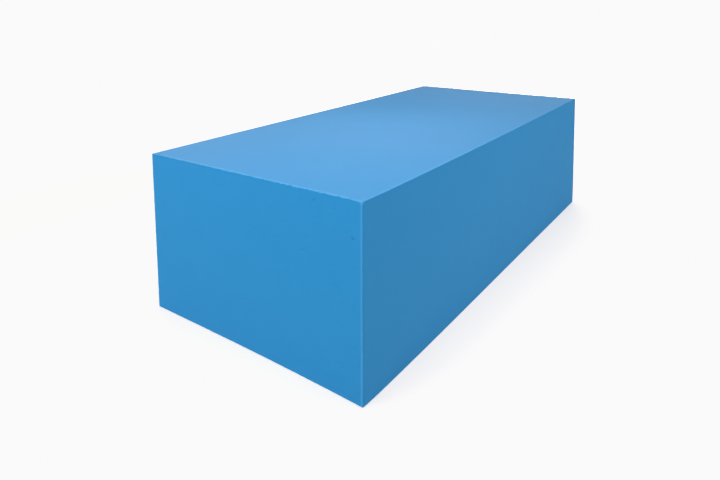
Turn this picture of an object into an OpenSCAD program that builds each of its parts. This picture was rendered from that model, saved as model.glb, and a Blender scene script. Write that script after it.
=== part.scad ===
// Foam block: one rectangular piece cut from a slab of open-cell foam.
// The origin is the centre of the underside, the length runs along X,
// the width along Y, and the block stands on Z = 0.

/* [Block] */
// Length of the block, along X, in mm
block_length = 700; // [300:10:1200]
// Width of the block, along Y, in mm
block_width = 300; // [150:5:600]
// Height of the block, along Z, in mm
block_height = 195; // [60:5:300]

/* [Cut edges] */
// Radius to which a cut edge of foam relaxes, in mm
edge_radius = 1.5; // [0.5:0.25:5]

/* [Hidden] */
// Sides of the circle that an edge and a corner are a quarter and an eighth of
arc_sides = 48;
// Lines on which the edge rounds are centred, measured out from the block's own centre
edge_x = block_length / 2 - edge_radius;
edge_y = block_width / 2 - edge_radius;
edge_z = block_height / 2 - edge_radius;

// A bar of the block's full reach along one axis, which gives one opposite pair of flat faces
module face_bar(size) {
    cube(size, center = true);
}

// The three bars that cross at the centre and carry the six flat faces
module flat_faces() {
    face_bar([block_length, 2 * edge_y, 2 * edge_z]);
    face_bar([2 * edge_x, block_width, 2 * edge_z]);
    face_bar([2 * edge_x, 2 * edge_y, block_height]);
}

// A round rod along Z that fills the four parallel edges of one direction
module edge_rods(half_length, offset_a, offset_b) {
    for (a = [-offset_a, offset_a], b = [-offset_b, offset_b])
        translate([a, b, 0])
            cylinder(r = edge_radius, h = 2 * half_length, center = true, $fn = arc_sides);
}

// The twelve rounded edges: four upright, four along X and four along Y
module rounded_edges() {
    edge_rods(edge_z, edge_x, edge_y);
    rotate([0, 90, 0]) edge_rods(edge_x, edge_z, edge_y);
    rotate([90, 0, 0]) edge_rods(edge_y, edge_x, edge_z);
}

// The eight rounded corners, where three edges meet
module rounded_corners() {
    for (x = [-edge_x, edge_x], y = [-edge_y, edge_y], z = [-edge_z, edge_z])
        translate([x, y, z]) sphere(r = edge_radius, $fn = arc_sides);
}

// The whole block, in one piece
module foam_block() {
    color([0.16, 0.56, 0.81])
        translate([0, 0, block_height / 2])
            union() {
                flat_faces();
                rounded_edges();
                rounded_corners();
            }
}

foam_block();
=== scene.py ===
# %% [markdown]
# # A block of cut foam
# The real thing is one rectangular piece, sawn out of a long bun of sky-blue polyurethane foam. It looks
# simple, and that is the difficulty: a plain box reads as plastic. What makes it foam is how its cut
# edges fray, how its faces wander by a millimetre, and the small open bubbles that the saw went through.
# Each cell below adds one of those. First the fixed frame is loaded, which gives the block's real size.

# %% Load the frame
import math
import random

import bmesh
import bpy
from mathutils import Matrix, Vector, kdtree, noise


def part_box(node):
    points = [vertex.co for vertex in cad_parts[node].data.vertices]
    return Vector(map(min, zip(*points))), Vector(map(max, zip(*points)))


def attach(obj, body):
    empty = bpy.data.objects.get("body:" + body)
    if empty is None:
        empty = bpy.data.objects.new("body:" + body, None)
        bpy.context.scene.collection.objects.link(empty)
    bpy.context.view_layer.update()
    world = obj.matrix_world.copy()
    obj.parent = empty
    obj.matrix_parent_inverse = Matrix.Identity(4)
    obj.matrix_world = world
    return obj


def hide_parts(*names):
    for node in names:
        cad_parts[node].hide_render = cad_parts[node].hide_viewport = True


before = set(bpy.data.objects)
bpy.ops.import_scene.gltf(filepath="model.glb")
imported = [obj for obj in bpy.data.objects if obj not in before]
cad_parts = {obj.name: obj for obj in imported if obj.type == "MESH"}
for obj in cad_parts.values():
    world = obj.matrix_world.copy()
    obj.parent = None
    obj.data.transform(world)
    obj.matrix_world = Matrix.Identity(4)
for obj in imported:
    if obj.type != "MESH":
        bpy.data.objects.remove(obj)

MM = 0.001
NOISE_SEED = 7
noise.seed_set(NOISE_SEED)
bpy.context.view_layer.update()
low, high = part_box("foam_block")
length, width, height = high - low
print(f"block: {length / MM:.0f} x {width / MM:.0f} x {height / MM:.0f} mm")

# %% [markdown]
# ## The raw block
# Foam is cut square, so the piece starts as a cube that is scaled to size. A cube has eight corners and
# nothing between them to move, so each direction is then cut into equal lengths. Cutting one direction
# at a time keeps the squares square, which one call on all edges wouldn't do on a long block.

# %% Cut the block out and divide its faces
GRID = 8 * MM
# How nearly an edge has to run along an axis, as a share of its length
RUNS_ALONG = 0.99


def cut_along(bm, axis, spacing):
    """Divides every edge that runs along one axis into equal lengths near the spacing."""
    edges = [e for e in bm.edges
             if abs((e.verts[1].co - e.verts[0].co).normalized()[axis]) > RUNS_ALONG]
    cuts = round(edges[0].calc_length() / spacing) - 1
    bmesh.ops.subdivide_edges(bm, edges=edges, cuts=cuts, use_grid_fill=True)


foam = bmesh.new()
bmesh.ops.create_cube(foam, size=1.0)
bmesh.ops.scale(foam, vec=high - low, verts=foam.verts)
bmesh.ops.translate(foam, vec=(low + high) / 2, verts=foam.verts)
for axis in range(3):
    cut_along(foam, axis, GRID)
print(f"raw block: {len(foam.faces)} squares of about {GRID / MM:.0f} mm")

# %% [markdown]
# ## The cut edges
# A blade leaves foam with a sharp arris, but the thin cell walls there have lost their neighbours, so the
# arris relaxes into a small round. The round could be left to a shader, but then the outline would stay
# knife-sharp. A bevel with a few segments gives the outline and the soft line of light together.

# %% Round the edges
EDGE_ROUND = 0.7 * MM
EDGE_SEGMENTS = 3
ARRIS_ANGLE = math.radians(45)

arrises = [e for e in foam.edges if e.calc_face_angle() > ARRIS_ANGLE]
bmesh.ops.bevel(foam, geom=arrises, offset=EDGE_ROUND, offset_type="OFFSET", segments=EDGE_SEGMENTS,
                profile=0.5, affect="EDGES", clamp_overlap=True, material=-1)
print(f"rounded edges: {len(foam.faces)} faces")

# %% [markdown]
# ## The open bubbles
# Foam rises with some bubbles much larger than its cells. Where the saw passes through one it leaves a pit
# of about one to three and a half millimetres, often longer than it is wide. They could be drawn as dark
# dots, but a dot has no lit lower lip, so each pit is a real hollow. The pits that show most are listed one
# by one, and the rest are scattered with a fixed seed, so that the block is the same each time.

# %% List the plainest pits
# The plainest pits on one end: across from its right-hand edge, up from the floor, and width, in mm
END_PITS = [
    (10, 160, 3.4), (68, 184, 2.8), (53, 187, 3.0), (19, 163, 2.0), (31, 182, 2.0), (68, 134, 2.6),
    (50, 170, 1.8), (73, 164, 1.8), (88, 157, 2.0), (82, 150, 1.7), (63, 147, 2.0), (108, 177, 2.0),
    (104, 137, 2.0), (155, 155, 2.4), (138, 141, 2.2), (179, 176, 2.0), (94, 114, 2.0), (23, 95, 2.2),
    (10, 92, 2.2), (41, 84, 2.2), (27, 74, 1.9), (41, 69, 1.8), (9, 131, 2.0), (31, 128, 1.8),
    (27, 33, 2.4), (22, 31, 2.0), (40, 24, 1.9), (9, 54, 1.9), (152, 57, 2.2), (6, 19, 1.9),
]
# The same on one long side: along from the left-hand edge, up, and width
SIDE_PITS = [(26, 133, 1.8), (114, 150, 1.7), (151, 149, 1.8), (190, 127, 1.7), (401, 173, 2.0)]
print(f"listed pits: {len(END_PITS)} on an end and {len(SIDE_PITS)} on a side")

# %% Scatter the rest
# Bubbles scattered over each face: face's axis, its side, and how many to each square decimetre
SCATTER = [(0, -1, 6.0), (0, 1, 9.0), (1, -1, 1.5), (1, 1, 2.0), (2, 1, 0.8), (2, -1, 1.5)]
SCATTER_WIDTH = (0.9 * MM, 1.8 * MM)
BUBBLE_SEED = 41
PIT_MARGIN = 4 * MM
# Square decimetres in a square metre
SQUARE_DECIMETRES = 100
# How much longer than wide a pit may be, how deep for its width, and how much that depth varies
PIT_STRETCH = (1.0, 1.5)
DEPTH_TO_WIDTH = 0.17
DEPTH_SPREAD = (0.8, 1.2)


def bubble(dice, axis, side, place, wide):
    """One opened bubble: where it is, which way its face looks, and how it is stretched and turned."""
    return {
        "place": Vector(place),
        "axis": axis,
        "side": side,
        "radius": wide / 2,
        "stretch": dice.uniform(*PIT_STRETCH),
        "turn": dice.uniform(0, math.pi),
        "ripple": dice.uniform(0, 2 * math.pi),
        "depth": wide * DEPTH_TO_WIDTH * dice.uniform(*DEPTH_SPREAD),
    }


dice = random.Random(BUBBLE_SEED)
bubbles = [bubble(dice, 0, -1, (low.x, low.y + across * MM, up * MM), wide * MM)
           for across, up, wide in END_PITS]
bubbles += [bubble(dice, 1, -1, (low.x + along * MM, low.y, up * MM), wide * MM)
            for along, up, wide in SIDE_PITS]
for axis, side, density in SCATTER:
    spans = [a for a in range(3) if a != axis]
    area = (high - low)[spans[0]] * (high - low)[spans[1]]
    for _ in range(round(area * SQUARE_DECIMETRES * density)):
        place = Vector((0, 0, 0))
        place[axis] = high[axis] if side > 0 else low[axis]
        for a in spans:
            place[a] = dice.uniform(low[a] + PIT_MARGIN, high[a] - PIT_MARGIN)
        bubbles.append(bubble(dice, axis, side, place, dice.uniform(*SCATTER_WIDTH)))
spots = kdtree.KDTree(len(bubbles))
for i, b in enumerate(bubbles):
    spots.insert(b["place"], i)
spots.balance()
print(f"bubbles: {len(bubbles)}")

# %% [markdown]
# ## A finer mesh where it is needed
# A mesh fine enough for a bubble's rim would need millions of faces over the whole block. So only two
# places are refined: a band along the edges, for the fraying, and the squares round each bubble. Both are
# divided in one call, because squares that are divided separately meet in long thin triangles, which show
# as creases. A second call then divides the few squares right at each bubble once more.

# %% Refine the edges and the bubbles
EDGE_BAND = 6 * MM
BUBBLE_REACH = 7 * MM
FIRST_CUTS = 4
LONGEST_AFTER_FIRST = 2.5 * MM
RIM_REACH = 1.0 * MM
SECOND_CUTS = 2
LONGEST_AFTER_SECOND = 0.9 * MM


def from_arris(point):
    """How far a point is from the nearest edge of the block, and the axis which that edge runs along."""
    gaps = sorted((min(point[a] - low[a], high[a] - point[a]), a) for a in range(3))
    return gaps[1][0], gaps[2][1]


def refine(bm, faces, longest, cuts):
    """Divides the edges of some faces that are over a given length, always in the same order."""
    edges = dict.fromkeys(e for f in faces for e in f.edges if e.calc_length() > longest)
    bmesh.ops.subdivide_edges(bm, edges=list(edges), cuts=cuts, use_grid_fill=True)


def at_detail(face):
    """True for a face beside an edge of the block or round a bubble."""
    middle = face.calc_center_median()
    return from_arris(middle)[0] < EDGE_BAND or spots.find(middle)[2] < BUBBLE_REACH


def at_rim(face):
    """True for a face that a bubble's rim may pass through."""
    _, index, distance = spots.find(face.calc_center_median())
    return distance < bubbles[index]["radius"] * bubbles[index]["stretch"] + RIM_REACH


refine(foam, [f for f in foam.faces if at_detail(f)], LONGEST_AFTER_FIRST, FIRST_CUTS)
refine(foam, [f for f in foam.faces if at_rim(f)], LONGEST_AFTER_SECOND, SECOND_CUTS)
print(f"refined: {len(foam.faces)} faces")

# %% [markdown]
# ## Sinking the bubbles
# Every point inside a bubble's outline sinks along the face's normal. The outline is an ellipse with a
# ripple, because a torn bubble is never a true circle. How deep each point lies is also stored as an
# attribute, which the finish reads to paint shade into the hollow. A second attribute paints a highlight
# on the lip under the hollow, where a hollow lit from above is brightest.

# %% Sink the bubbles
# How far the outline ripples in and out for its radius, and how many times on the way round
RIPPLE = 0.22
RIPPLES = 3
FLAT_FLOOR = 0.35
ON_FACE = 0.1 * MM
WIDEST_BUBBLE = 6 * MM
# How far below its hollow the painted highlight on the lip reaches, in radii, and how strong it is, from 0
# to 1
LIP_DROP = 0.9
LIP_HIGHLIGHT = 0.18


def depth_in(b, away):
    """How deep a point lies in a bubble, from 0 at its outline to 1 on its floor."""
    p, q = [away[a] for a in range(3) if a != b["axis"]]
    along = p * math.cos(b["turn"]) + q * math.sin(b["turn"])
    across = q * math.cos(b["turn"]) - p * math.sin(b["turn"])
    angle = math.atan2(across, along)
    outline = b["radius"] * (1 + RIPPLE * math.sin(RIPPLES * angle + b["ripple"]))
    reach = math.hypot(along / b["stretch"], across) / outline
    sink = min(1.0, max(0.0, (1 - reach) / (1 - FLAT_FLOOR)))
    return sink * (2 - sink)


pit_layer = foam.verts.layers.float.new("pit")
pale_layer = foam.verts.layers.float.new("pale")
for v in foam.verts:
    for _, index, _ in spots.find_range(v.co, WIDEST_BUBBLE):
        b = bubbles[index]
        away = v.co - b["place"]
        if abs(away[b["axis"]]) < ON_FACE:
            above = away + Vector((0, 0, LIP_DROP * b["radius"]))
            v[pit_layer] = depth_in(b, away)
            # Painted highlight on the lower lip, where light from above falls into the hollow
            v[pale_layer] = LIP_HIGHLIGHT * max(0.0, depth_in(b, above) - v[pit_layer])
            v.co[b["axis"]] -= b["side"] * b["depth"] * v[pit_layer]
            break
print(f"sunk: {sum(v[pit_layer] > 0 for v in foam.verts)} points")

# %% [markdown]
# ## Wander and fray
# A saw blade drifts as it goes through a metre of soft foam, so no face is quite flat, no edge quite
# straight and no corner quite square. The corners are given one by one, to a tenth of a millimetre, and
# each point of the block follows them in proportion. The drift between them is a few smooth bows, each
# given by its depth at the middle, with slow noise on top. The fray is quick noise that acts only near
# the edges. A blade pushes the last cells out instead of cutting them, so the upper edges that run across
# the block, where it comes out, are the roughest. The lower edges are pressed smooth by the block's weight.
# A painted highlight, for light scattered through the thin cut edge, makes one of the two faces at an edge
# pale, in patches on the rough edges across the block and as one even line on the upright ones.

# %% Set the corners out of square
# For a corner at the low (0) or high (1) end of x, y and z: how far it stands from square, in mm
OUT_OF_SQUARE = {
    (0, 1, 1): (1.7, -1.2, -0.7),
    (0, 1, 0): (-3.4, -1.9, 0.0),
    (0, 0, 0): (-1.5, -0.3, 0.0),
    (1, 0, 1): (-0.9, 0.8, -1.9),
    (1, 1, 1): (0.0, 0.7, 2.2),
    (1, 0, 0): (0.6, -4.6, 0.0),
}


def out_of_square(shares):
    """How far a point moves with the corners, from its share of the way along x, y and z."""
    move = Vector((0, 0, 0))
    for corner, shift in OUT_OF_SQUARE.items():
        weight = math.prod(s if end else 1 - s for s, end in zip(shares, corner))
        move += weight * MM * Vector(shift)
    return move


print(f"corners out of square: {len(OUT_OF_SQUARE)}")

# %% Bend the faces
# How deep each bow is, the power that moves its deepest place towards the low end, and the power by which
# the sag of the top fades from one long side to the other
TOP_SAG = 1.9 * MM
SAG_SKEW = 0.6
SAG_FADE = 2
END_HOLLOW = 1.9 * MM
HOLLOW_SKEW = 0.75
SIDE_BELLY = 1.9 * MM
BELLY_SKEW = 0.4
DRIFT = 0.15 * MM
DRIFT_WAVE = 120 * MM


def bow(t):
    """0 at both ends of a face, and 1 at its middle."""
    return math.sin(math.pi * min(1.0, max(0.0, t)))


def drift(point):
    """How far the blade had wandered at a point of the raw block."""
    along, across, up = [(point[a] - low[a]) / (high[a] - low[a]) for a in range(3)]
    move = out_of_square((along, across, up)) + DRIFT * noise.noise_vector(point / DRIFT_WAVE)
    move.z -= TOP_SAG * bow(along ** SAG_SKEW) * up * (1 - across) ** SAG_FADE
    move.x += END_HOLLOW * bow(across ** HOLLOW_SKEW) * (1 - up) * (1 - along)
    move.y -= SIDE_BELLY * bow(along ** BELLY_SKEW) * (1 - up) * (1 - across)
    return move


print(f"deepest bow: {max(TOP_SAG, END_HOLLOW, SIDE_BELLY) / MM:.1f} mm")

# %% Fray the edges
FRAY_REACH = 3.0 * MM
FRAY_WAVE = 4.0 * MM
# How far the edges along x, y and z fray, and how strong, how patchy and how wide the painted highlight
# along them is
FRAY = (0.2 * MM, 1.0 * MM, 0.2 * MM)
PALE = (0.8, 0.8, 1.0)
PATCHY = (0.6, 1.4, 0.2)
PALE_REACH = (3.0 * MM, 5.0 * MM, 2.2 * MM)
# The face that carries the painted highlight at an edge, by its axis, for edges along x, y and z
HIGHLIGHT_FACE = (2, 2, 0)
# The painted highlight is even at the edge itself and fades after it. It stays weaker than the one on the
# tip
PALE_EDGE = 1.5
EDGE_STRENGTH = 0.5
# One upper corner, at the low ends of x and y, gets a painted highlight on its tip, paler than any edge
TIP_REACH = 4.0 * MM
# How rough and pale a lower edge is beside an upper one. An upright edge is the same all the way
PRESSED = 0.2
UPRIGHT = 2

highlight_tip = Vector((low.x, low.y, high.z))
for v in foam.verts:
    gap, runs = from_arris(v.co)
    near_edge = max(0.0, 1 - gap / FRAY_REACH)
    torn = noise.noise_vector(v.co / FRAY_WAVE)
    patches = min(1.0, max(0.0, PALE[runs] + PATCHY[runs] * torn.x))
    rough = 1.0 if runs == UPRIGHT else PRESSED + (1 - PRESSED) * (v.co.z - low.z) / height
    near_pale = max(0.0, 1 - gap / PALE_REACH[runs])
    face = HIGHLIGHT_FACE[runs]
    off_face = min(v.co[face] - low[face], high[face] - v.co[face]) / EDGE_ROUND
    # Painted highlight along the edges, on one face of each
    edge_highlight = patches * rough * min(1.0, PALE_EDGE * near_pale) * max(0.0, 1 - off_face)
    # Painted highlight on the tip of that one upper corner
    tip_highlight = 1 - (v.co - highlight_tip).length / TIP_REACH
    v[pale_layer] = max(v[pale_layer], EDGE_STRENGTH * edge_highlight, tip_highlight)
    v.co += drift(v.co) + FRAY[runs] * near_edge * rough * torn
    v.co.z = max(v.co.z, low.z)
print(f"frayed: {sum(v[pale_layer] > 0 for v in foam.verts)} pale points")

# %% Turn the mesh into an object
# A face with more corners than this is divided into triangles
MOST_CORNERS = 4

bmesh.ops.triangulate(foam, faces=[f for f in foam.faces if len(f.verts) > MOST_CORNERS])
bmesh.ops.recalc_face_normals(foam, faces=foam.faces)
for f in foam.faces:
    f.smooth = True


def finished(name, bm):
    """Turns a bmesh into an object of the scene."""
    mesh = bpy.data.meshes.new(name)
    bm.to_mesh(mesh)
    bm.free()
    made = bpy.data.objects.new(name, mesh)
    bpy.context.scene.collection.objects.link(made)
    return made


cut_foam = finished("cut_foam", foam)
cut_foam.data.calc_loop_triangles()
print(f"cut_foam: {len(cut_foam.data.loop_triangles)} triangles")

# %% [markdown]
# ## The finish: cut polyurethane foam
# Flexible polyurethane foam is a froth of thin, slightly clear walls. Light goes in, is scattered from wall
# to wall, and comes out soft and strongly coloured, with no highlight. At a low angle the eye meets only
# the tips of the torn walls, which look paler. So the shader is rough and nearly all diffuse, with a
# little sheen for the tips. The cells themselves are about half a millimetre, too fine to show, so they
# are drawn at twice that. The colour also carries painted light: a painted highlight in a paler blue at
# the edges, one upper corner and the bubbles' lips, and painted shade in a darker blue in the hollows.

# %% Material helpers


def linear(code):
    """An sRGB hex colour in the linear values that shaders take, by the standard's own curve."""
    parts = [int(code[i:i + 2], 16) / 255 for i in (0, 2, 4)]
    return [c / 12.92 if c <= 0.04045 else ((c + 0.055) / 1.055) ** 2.4 for c in parts] + [1.0]


def empty_material(name):
    """A material with no nodes yet, and its node tree."""
    material = bpy.data.materials.new(name)
    material.use_nodes = True
    material.node_tree.nodes.clear()
    return material, material.node_tree


def add(tree, kind, links=(), **settings):
    """Adds a node. Settings that name an input set its value, others set a property. Links feed inputs."""
    made = tree.nodes.new(kind)
    for name, value in settings.items():
        label = name.replace("_", " ")
        if label in made.inputs:
            made.inputs[label].default_value = value
        else:
            setattr(made, name, value)
    for name, source in dict(links).items():
        tree.links.new(source, made.inputs[name])
    return made

# %% Foam material
FOAM_BLUE = "1691d3"
FOAM_BLUE_PALER = "1994d6"
# The next colour is a painted highlight, laid on the edges, one upper corner and the bubbles' lips
HIGHLIGHT_BLUE = "56baff"
# The next two are painted shade: a darker blue laid into each bubble's hollow, by its depth
PIT_SHADE_BLUE = "1c6fae"
PIT_SHADE = 0.2
FOAM_ROUGHNESS = 0.85
SHEEN = 0.017
CELL = 1.1 * MM
CELL_DEPTH = 0.1 * MM
CELL_STRENGTH = 0.3
MOTTLE = 30 * MM
MOTTLE_DETAIL = 2.0
# The sockets that the colour form of the Mix node uses
FIRST, SECOND, MIXED = 6, 7, 2


def polyurethane_foam():
    """Open-cell foam, sawn: matt, evenly coloured, with painted highlights at the edges, a corner and the
    lips, and painted shade in the hollows.
    """
    material, tree = empty_material("cut_polyurethane_foam")
    place = add(tree, "ShaderNodeTexCoord").outputs["Object"]
    cells = add(tree, "ShaderNodeTexVoronoi", {"Vector": place}, Scale=1 / CELL)
    clouds = add(tree, "ShaderNodeTexNoise", {"Vector": place}, Scale=1 / MOTTLE, Detail=MOTTLE_DETAIL)
    pale = add(tree, "ShaderNodeAttribute", attribute_name="pale").outputs["Fac"]
    pit = add(tree, "ShaderNodeAttribute", attribute_name="pit").outputs["Fac"]
    shade = add(tree, "ShaderNodeMath", {0: pit}, operation="MULTIPLY")
    shade.inputs[1].default_value = PIT_SHADE
    body = add(tree, "ShaderNodeMix", {"Factor": clouds.outputs["Fac"]}, data_type="RGBA")
    body.inputs[FIRST].default_value = linear(FOAM_BLUE)
    body.inputs[SECOND].default_value = linear(FOAM_BLUE_PALER)
    # Painted highlight: the colour turns to a paler blue where the pale attribute is set
    highlighted = add(tree, "ShaderNodeMix", {"Factor": pale, FIRST: body.outputs[MIXED]}, data_type="RGBA")
    highlighted.inputs[SECOND].default_value = linear(HIGHLIGHT_BLUE)
    # Painted shade: the colour turns to a darker blue in the bubbles' hollows
    pit_shaded = add(tree, "ShaderNodeMix", {"Factor": shade.outputs[0], FIRST: highlighted.outputs[MIXED]},
                 data_type="RGBA")
    pit_shaded.inputs[SECOND].default_value = linear(PIT_SHADE_BLUE)
    bump = add(tree, "ShaderNodeBump", {"Height": cells.outputs["Distance"]}, Strength=CELL_STRENGTH,
               Distance=CELL_DEPTH)
    shader = add(tree, "ShaderNodeBsdfPrincipled",
                 {"Base Color": pit_shaded.outputs[MIXED], "Normal": bump.outputs[0]},
                 Roughness=FOAM_ROUGHNESS, Sheen_Weight=SHEEN)
    add(tree, "ShaderNodeOutputMaterial", {"Surface": shader.outputs[0]})
    return material


cut_foam.data.materials.append(polyurethane_foam())
print(f"finish: {cut_foam.data.materials[0].name}, cells drawn at {CELL / MM:.1f} mm")

# %% Say what the piece is
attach(cut_foam, "root")
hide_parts("foam_block")

# %% [markdown]
# ## The studio
# Goods on a white ground stand on a table that is lit from below, in a white cove. A plain white floor
# would do near the block, but it goes grey with distance and shows a horizon. So the table's own light
# grows with distance from the block, until it is as bright as the cove behind it. The table is a warm
# white, because the block throws blue light onto it and a neutral sheet would give a blue shadow.

# %% Materials of the floor and the cove
TABLE_GLOW = 0.62
COVE_GLOW = 1.0
TABLE_WHITE = "d3c5bd"
GLOW_STARTS = 0.5
GLOW_FULL = 1.8


def lit_table():
    """A matt white sheet lit from behind, faintly near the block and fully far away."""
    material, tree = empty_material("lit_table")
    place = add(tree, "ShaderNodeTexCoord").outputs["Object"]
    far = add(tree, "ShaderNodeVectorMath", {0: place}, operation="LENGTH")
    glow = add(tree, "ShaderNodeMapRange", {"Value": far.outputs["Value"]}, interpolation_type="SMOOTHSTEP",
               From_Min=GLOW_STARTS, From_Max=GLOW_FULL, To_Min=TABLE_GLOW, To_Max=COVE_GLOW)
    shader = add(tree, "ShaderNodeBsdfPrincipled", {"Emission Strength": glow.outputs["Result"]},
                 Base_Color=linear(TABLE_WHITE), Roughness=1.0, Specular_IOR_Level=0.0,
                 Emission_Color=linear("ffffff"))
    add(tree, "ShaderNodeOutputMaterial", {"Surface": shader.outputs[0]})
    return material


def cove_paper():
    """Paper that glows as plain white. Only the camera sees it, so it adds no light of its own."""
    material, tree = empty_material("cove_paper")
    glow = add(tree, "ShaderNodeEmission", Strength=COVE_GLOW)
    add(tree, "ShaderNodeOutputMaterial", {"Surface": glow.outputs[0]})
    return material

# %% Floor and cove
FLOOR_DROP = 0.3 * MM
ROOM_RADIUS = 12.0
FLOOR_SIDES = 64
COVE_SIDES = 48
COVE_RINGS = 24


def stage_piece(name, bm, material):
    """Turns a bmesh into an object that belongs to the studio and not to the block."""
    made = finished(name, bm)
    made.data.materials.append(material)
    return made


sheet = bmesh.new()
bmesh.ops.create_circle(sheet, cap_ends=True, segments=FLOOR_SIDES, radius=ROOM_RADIUS)
bmesh.ops.translate(sheet, vec=(0, 0, -FLOOR_DROP), verts=sheet.verts)
stage_piece("floor", sheet, lit_table())

shell = bmesh.new()
bmesh.ops.create_uvsphere(shell, u_segments=COVE_SIDES, v_segments=COVE_RINGS, radius=ROOM_RADIUS)
bmesh.ops.reverse_faces(shell, faces=shell.faces)
cove = stage_piece("cove", shell, cove_paper())
cove.visible_diffuse = False
cove.visible_glossy = False
cove.visible_shadow = False
print(f"studio: {ROOM_RADIUS:.0f} m from its middle to its wall")

# %% [markdown]
# ## The lights
# Soft boxes of half a metre to a metre give shadows that fade out within a hand's width. A single overhead
# box would light the top evenly, but the top is to be brightest at the near corner, and the end brighter
# than the long side. So the light is split into weaker boxes, each for one part of the block. Two more
# only glance off the tips of the cells, which makes the top paler at a low angle: one from behind the block,
# and a small one close over it for the near corner. They act on gloss alone. As a full light the first would
# burn out the faces that look towards it, and the second would leave a bright pool on the top.

# %% Choose the lights
# What the boxes point at: places on the upper face, one on the end, one inside the long side, and the middle
near_corner = Vector((low.x + 0.05, low.y + 0.05, high.z))
along_side = Vector((low.x + 0.10, low.y + 0.03, high.z))
upper_face = Vector((low.x + 0.15, low.y + 0.10, high.z))
beside_corner = Vector((low.x + 0.13, low.y + 0.07, high.z))
end_face = Vector((low.x, 0, height / 2))
side_face = Vector((high.x - 0.15, low.y + 0.05, height / 2))
block_middle = Vector((0, 0, height / 2))
# Name, what it points at, the bearing and the height in degrees at which it stands as seen from there, how
# far off it is and the side of its square in metres, and its power in watts. Bearings go from 0, straight
# out from the long side, through 90, off the far end.
SOFTBOXES = [
    ("over_near_corner", near_corner, -72, 77, 0.72, 0.6, 4.2),
    ("over_middle", along_side, 100, 60, 0.9, 0.4, 1.6),
    ("before_end", end_face, -110, 20, 1.5, 0.8, 7.5),
    ("before_side", side_face, 0, 15, 1.0, 0.6, 2.1),
    ("behind_high", block_middle, 115, 35, 2.0, 1.2, 8.4),
    ("far_end", upper_face, 100, 8, 2.0, 0.8, 10.0),
    ("back_side", upper_face, 155, 12, 2.0, 0.8, 7.0),
]
# Two boxes that only glance off the block, given in the same way
GLANCING = [
    ("glance_from_behind", upper_face, 150, 20, 2.0, 0.8, 15.0),
    ("glance_close", beside_corner, 117, 43, 0.3, 0.25, 0.5),
]
print(f"soft boxes: {len(SOFTBOXES)} full and {len(GLANCING)} glancing")

# %% The air
# The air gives no light, so the block is lit by the boxes and the table alone
AIR_GLOW = 0.0

world = bpy.data.worlds.new("studio_air")
bpy.context.scene.world = world
world.use_nodes = True
world.node_tree.nodes["Background"].inputs["Color"].default_value = (1, 1, 1, 1)
world.node_tree.nodes["Background"].inputs["Strength"].default_value = AIR_GLOW
print(f"air glow: {AIR_GLOW}")

# %% Place the lights


def softbox(name, target, bearing, up, distance, size, power):
    """A square soft light that points at a target. It lights the scene but isn't seen itself."""
    light = bpy.data.lights.new(name, "AREA")
    light.shape = "SQUARE"
    light.size = size
    light.energy = power
    made = bpy.data.objects.new(name, light)
    heading = math.radians(bearing)
    rise = math.radians(up)
    level = Vector((math.sin(heading), -math.cos(heading), 0))
    away = level * math.cos(rise) + Vector((0, 0, math.sin(rise)))
    made.location = target + distance * away
    made.rotation_mode = "QUATERNION"
    made.rotation_quaternion = (-away).to_track_quat("-Z", "Y")
    made.visible_camera = False
    bpy.context.scene.collection.objects.link(made)
    return made


for box in SOFTBOXES:
    softbox(*box)
for box in GLANCING:
    softbox(*box).visible_diffuse = False
print(f"power: {sum(box[-1] for box in SOFTBOXES + GLANCING):.1f} W in all")

# %% [markdown]
# ## The camera and its white
# The camera stands close to one corner, a little above the block, and is rolled by a little over a
# degree. Its lens is shifted, so the view is cut from one side of a wider one.

# %% Camera
CAMERA_PLACE = (-0.7338, -0.4005, 0.3532)
HEADING = 40.144
PITCH = 9.645
ROLL = -1.400
LENS = 27.883
SENSOR = 36.0
SHIFT = (0.0914, -0.1806)
NEAREST = 0.01

camera_data = bpy.data.cameras.new("camera")
camera_data.sensor_fit = "HORIZONTAL"
camera_data.sensor_width = SENSOR
camera_data.lens = LENS
camera_data.shift_x, camera_data.shift_y = SHIFT
camera_data.clip_start = NEAREST
camera = bpy.data.objects.new("camera", camera_data)
turn = (Matrix.Rotation(math.radians(HEADING - 90), 4, "Z")
        @ Matrix.Rotation(math.radians(90 - PITCH), 4, "X")
        @ Matrix.Rotation(math.radians(ROLL), 4, "Z"))
camera.matrix_world = Matrix.Translation(CAMERA_PLACE) @ turn
bpy.context.scene.collection.objects.link(camera)
bpy.context.scene.camera = camera
print(f"camera: a {LENS:.0f} mm lens, {PITCH:.0f} degrees downwards")

# %% [markdown]
# White paper isn't pure white in a picture. The view's curve is straight up to the paper's white and flat
# above it, so that the ground is one even tone and the foam's colours aren't touched.

# %% White of the paper
PAPER_WHITE = 0.956
# The curve that acts on all three colours at once
ALL_COLOURS = 3

view = bpy.context.scene.view_settings
view.view_transform = "Standard"
view.use_curve_mapping = True
tones = view.curve_mapping.curves[ALL_COLOURS]
tones.points[0].location = (0, 0)
tones.points[1].location = (1, PAPER_WHITE)
tones.points.new(PAPER_WHITE, PAPER_WHITE)
for point in tones.points:
    point.handle_type = "VECTOR"
view.curve_mapping.update()
print(f"paper white: {PAPER_WHITE}")
